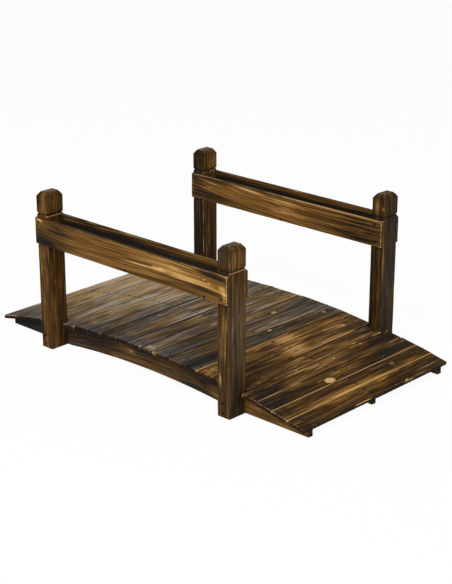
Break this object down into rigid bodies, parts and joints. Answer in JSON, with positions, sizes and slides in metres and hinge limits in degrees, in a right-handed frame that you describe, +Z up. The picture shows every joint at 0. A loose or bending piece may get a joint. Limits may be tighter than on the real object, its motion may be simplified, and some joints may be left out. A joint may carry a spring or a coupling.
{
  "type": "garden bridge",
  "caption": "Small arched garden footbridge in scorched softwood: cross boards on arched stringers, grooved posts with chamfered tops and paired side rails.",
  "frame": {"origin": "On the ground under the middle of the deck, at the bottom centre of the bounding box.", "axes": "+X runs along the walkway to the right-hand end of the picture, +Y across it to the far side, +Z up."},
  "size_m": [1.4978, 0.898, 0.593],
  "materials": {
    "stringer_wood": "satin",
    "post_wood": "satin",
    "rail_wood": "satin",
    "deck_wood": "satin"
  },
  "bodies": {
    "root": {"near_stringer": "stringer_wood", "middle_stringer": "stringer_wood", "far_stringer": "stringer_wood", "near_left_post": "post_wood", "near_right_post": "post_wood", "far_left_post": "post_wood", "far_right_post": "post_wood", "near_outer_rail": "rail_wood", "near_inner_rail": "rail_wood", "far_inner_rail": "rail_wood", "far_outer_rail": "rail_wood", "deck_board_01": "deck_wood", "deck_board_02": "deck_wood", "deck_board_03": "deck_wood", "deck_board_04": "deck_wood", "deck_board_05": "deck_wood", "deck_board_06": "deck_wood", "deck_board_07": "deck_wood", "deck_board_08": "deck_wood", "deck_board_09": "deck_wood", "deck_board_10": "deck_wood", "deck_board_11": "deck_wood", "deck_board_12": "deck_wood", "deck_board_13": "deck_wood", "deck_board_14": "deck_wood", "deck_board_15": "deck_wood", "deck_board_16": "deck_wood", "deck_board_17": "deck_wood", "deck_board_18": "deck_wood", "deck_board_19": "deck_wood", "deck_board_20": "deck_wood", "deck_board_21": "deck_wood", "deck_board_22": "deck_wood"}
  },
  "joints": []
}
